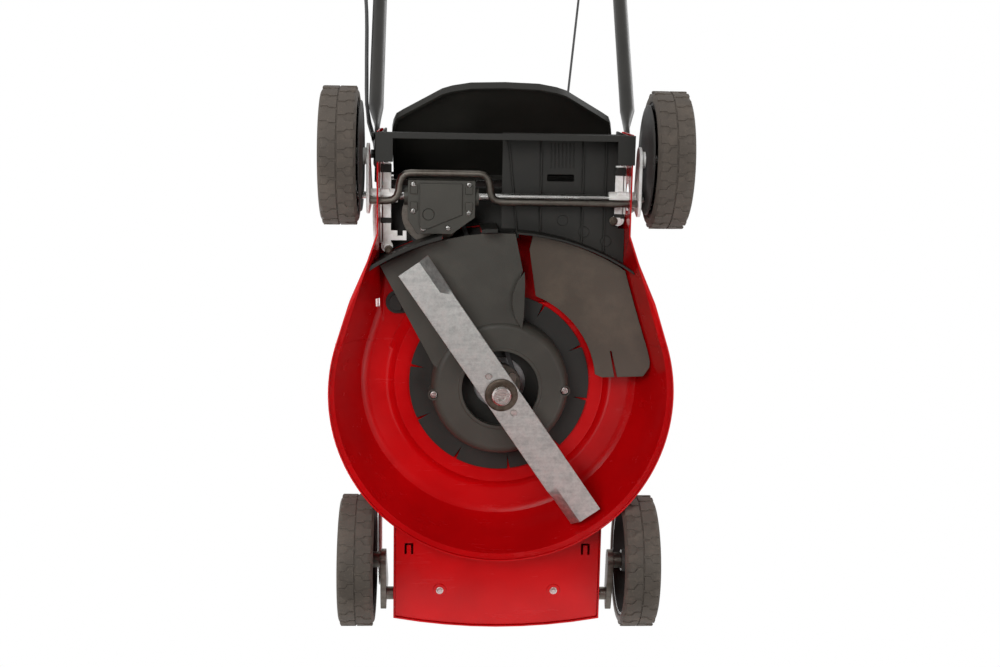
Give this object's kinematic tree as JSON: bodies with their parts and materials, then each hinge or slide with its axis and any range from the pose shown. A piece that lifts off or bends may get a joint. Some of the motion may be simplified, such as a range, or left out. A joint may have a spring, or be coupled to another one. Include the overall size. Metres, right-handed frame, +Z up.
{
  "type": "lawn mower",
  "caption": "Self-propelled petrol lawn mower with a pressed deck, rotary blade, rear discharge chute, four height-adjustable wheels and a folding handle.",
  "frame": {"origin": "on the ground under the middle of the overall box, wheels standing on it at the middle height setting", "axes": "+Z up, +Y towards the rear where the operator walks, +X to the operator's left"},
  "size_m": [0.477, 1.41, 0.9385],
  "materials": {
    "red_enamel": "glossy red enamel",
    "black_plastic": "matt black moulding",
    "grey_plastic": "satin dark grey moulding",
    "brown_plastic": "matt grey brown moulding",
    "tyre_rubber": "worn brown black rubber",
    "hub_plastic": "matt black moulding",
    "blade_steel": "dull grey hardened steel",
    "bright_steel": "bright steel",
    "brown_steel": "heat browned spring steel",
    "zinc": "pale zinc plate",
    "dark_steel": "dark phosphated steel",
    "tube_enamel": "satin dark grey powder coat",
    "cast_aluminium": "as cast",
    "belt_rubber": "matt black rubber",
    "engine_plastic": "semi gloss black moulding",
    "rope": "black sheathing"
  },
  "bodies": {
    "chassis": {"deck": "red_enamel", "front_panel": "red_enamel", "rear_chute": "black_plastic", "flap_hinge_rod": "bright_steel", "chute_deflector": "brown_plastic", "side_clip": "black_plastic", "belt_cover": "grey_plastic", "cover_ring": "black_plastic", "left_bracket": "zinc", "right_bracket": "zinc", "engine_block": "cast_aluminium", "engine_shroud": "engine_plastic", "starter_cover": "engine_plastic", "fuel_tank": "engine_plastic", "carburettor": "cast_aluminium", "air_filter_cover": "engine_plastic", "muffler": "dark_steel", "spark_plug_cap": "belt_rubber", "left_lower_tube": "tube_enamel", "right_lower_tube": "tube_enamel", "drive_belt": "belt_rubber", "drive_cable": "rope", "brake_cable": "rope", "starter_rope": "rope"},
    "blade_set": {"blade": "blade_steel", "drive_pulley": "dark_steel", "blade_washer": "brown_steel", "blade_bolt": "bright_steel", "crankshaft": "bright_steel", "flywheel": "cast_aluminium"},
    "gearbox": {"gearbox_housing": "grey_plastic"},
    "gearbox_input": {"gearbox_pulley": "dark_steel"},
    "drive_shaft": {"drive_shaft": "bright_steel"},
    "left_pinion": {"left_pinion": "dark_steel"},
    "right_pinion": {"right_pinion": "dark_steel"},
    "rear_carrier": {"rear_left_plate": "zinc", "rear_right_plate": "zinc", "rear_crank_rod": "dark_steel", "height_lever": "dark_steel"},
    "front_carrier": {"front_axle": "dark_steel"},
    "height_link": {"height_link_rod": "zinc"},
    "rear_left_wheel": {"rear_left_tyre": "tyre_rubber", "rear_left_hub": "hub_plastic"},
    "rear_right_wheel": {"rear_right_tyre": "tyre_rubber", "rear_right_hub": "hub_plastic"},
    "front_left_wheel": {"front_left_tyre": "tyre_rubber", "front_left_hub": "hub_plastic"},
    "front_right_wheel": {"front_right_tyre": "tyre_rubber", "front_right_hub": "hub_plastic"},
    "flap": {"discharge_flap": "black_plastic", "flap_spring": "bright_steel"},
    "upper_handle": {"upper_handle": "tube_enamel"},
    "left_knob": {"left_fold_knob": "black_plastic"},
    "right_knob": {"right_fold_knob": "black_plastic"},
    "brake_bail": {"brake_bail": "dark_steel"},
    "drive_bail": {"drive_bail": "dark_steel"},
    "starter_grip": {"starter_grip": "black_plastic"},
    "fuel_cap": {"fuel_cap": "engine_plastic"},
    "oil_cap": {"oil_cap": "engine_plastic"},
    "primer_bulb": {"primer_bulb": "belt_rubber"}
  },
  "joints": [
    {"name": "blade_spin", "type": "hinge", "parent": "chassis", "child": "blade_set", "pos_m": [0, -0.36598, 0.056], "axis": [0, 0, 1], "continuous": true},
    {"name": "gearbox_tilt", "type": "hinge", "parent": "chassis", "child": "gearbox", "pos_m": [0, -0.10686, 0.098], "axis": [1, 0, 0], "range_deg": [-4, 0], "deforming": ["drive_belt"]},
    {"name": "gearbox_input_spin", "type": "hinge", "parent": "gearbox", "child": "gearbox_input", "pos_m": [0.095, -0.13298, 0.122], "axis": [0, 0, 1], "continuous": true},
    {"name": "drive_shaft_spin", "type": "hinge", "parent": "chassis", "child": "drive_shaft", "pos_m": [0, -0.10686, 0.098], "axis": [1, 0, 0], "continuous": true},
    {"name": "height_adjust", "type": "hinge", "parent": "chassis", "child": "rear_carrier", "pos_m": [0, -0.10686, 0.098], "axis": [1, 0, 0], "range_deg": [-26, 26]},
    {"name": "front_height", "type": "hinge", "parent": "chassis", "child": "front_carrier", "pos_m": [0, -0.66086, 0.098], "axis": [1, 0, 0], "range_deg": [-26, 26]},
    {"name": "link_swing", "type": "hinge", "parent": "rear_carrier", "child": "height_link", "pos_m": [0, -0.11286, 0.164], "axis": [1, 0, 0], "range_deg": [-26, 26]},
    {"name": "rear_left_wheel_spin", "type": "hinge", "parent": "rear_carrier", "child": "rear_left_wheel", "pos_m": [0.214, -0.05498, 0.09], "axis": [1, 0, 0], "continuous": true},
    {"name": "rear_right_wheel_spin", "type": "hinge", "parent": "rear_carrier", "child": "rear_right_wheel", "pos_m": [-0.214, -0.05498, 0.09], "axis": [1, 0, 0], "continuous": true},
    {"name": "front_left_wheel_spin", "type": "hinge", "parent": "front_carrier", "child": "front_left_wheel", "pos_m": [0.192, -0.60898, 0.09], "axis": [1, 0, 0], "continuous": true},
    {"name": "front_right_wheel_spin", "type": "hinge", "parent": "front_carrier", "child": "front_right_wheel", "pos_m": [-0.192, -0.60898, 0.09], "axis": [1, 0, 0], "continuous": true},
    {"name": "left_pinion_spin", "type": "hinge", "parent": "rear_carrier", "child": "left_pinion", "pos_m": [0.2, -0.10686, 0.098], "axis": [1, 0, 0], "continuous": true},
    {"name": "right_pinion_spin", "type": "hinge", "parent": "rear_carrier", "child": "right_pinion", "pos_m": [-0.2, -0.10686, 0.098], "axis": [1, 0, 0], "continuous": true},
    {"name": "flap_hinge", "type": "hinge", "parent": "chassis", "child": "flap", "pos_m": [0, -0.09598, 0.262], "axis": [1, 0, 0], "range_deg": [0, 65], "stiffness_Nm_per_rad": 0.4, "springref_deg": -51.57},
    {"name": "upper_handle_fold", "type": "hinge", "parent": "chassis", "child": "upper_handle", "pos_m": [0, 0.26655, 0.41803], "axis": [1, 0, 0], "range_deg": [0, 110], "deforming": ["drive_cable", "brake_cable"]},
    {"name": "left_knob_turn", "type": "hinge", "parent": "upper_handle", "child": "left_knob", "pos_m": [0.185, 0.26655, 0.41803], "axis": [1, 0, 0], "range_deg": [-180, 180]},
    {"name": "right_knob_turn", "type": "hinge", "parent": "upper_handle", "child": "right_knob", "pos_m": [-0.185, 0.26655, 0.41803], "axis": [1, 0, 0], "range_deg": [-180, 180]},
    {"name": "brake_bail_squeeze", "type": "hinge", "parent": "upper_handle", "child": "brake_bail", "pos_m": [0, 0.567, 0.80258], "axis": [1, 0, 0], "range_deg": [-32, 0], "stiffness_Nm_per_rad": 1.5, "springref_deg": 28.65},
    {"name": "drive_bail_squeeze", "type": "hinge", "parent": "upper_handle", "child": "drive_bail", "pos_m": [0, 0.55592, 0.78839], "axis": [1, 0, 0], "range_deg": [0, 30], "stiffness_Nm_per_rad": 1.5, "springref_deg": -28.65},
    {"name": "starter_pull", "type": "slide", "parent": "upper_handle", "child": "starter_grip", "axis": [0, 0.6157, 0.788], "range_m": [0, 0.2], "stiffness_N_per_m": 30, "springref_m": -0.3, "deforming": ["starter_rope"]},
    {"name": "fuel_cap_turn", "type": "hinge", "parent": "chassis", "child": "fuel_cap", "pos_m": [0.124, -0.32398, 0.318], "axis": [0, 0, 1], "range_deg": [0, 90]},
    {"name": "oil_cap_turn", "type": "hinge", "parent": "chassis", "child": "oil_cap", "pos_m": [-0.092, -0.27798, 0.232], "axis": [0, 0, 1], "range_deg": [0, 90]},
    {"name": "primer_push", "type": "slide", "parent": "chassis", "child": "primer_bulb", "axis": [-1, 0, 0], "range_m": [0, 0.006], "stiffness_N_per_m": 800, "springref_m": -0.002}
  ],
  "couplings": [
    {"joint": "drive_shaft_spin", "follows": "gearbox_input_spin", "ratio": 0.25},
    {"joint": "front_height", "follows": "height_adjust", "ratio": 1},
    {"joint": "link_swing", "follows": "height_adjust", "ratio": -1},
    {"joint": "left_pinion_spin", "follows": "rear_left_wheel_spin", "ratio": 4.3333},
    {"joint": "right_pinion_spin", "follows": "rear_right_wheel_spin", "ratio": 4.3333},
    {"joint": "gearbox_tilt", "follows": "drive_bail_squeeze", "ratio": -0.13333}
  ]
}
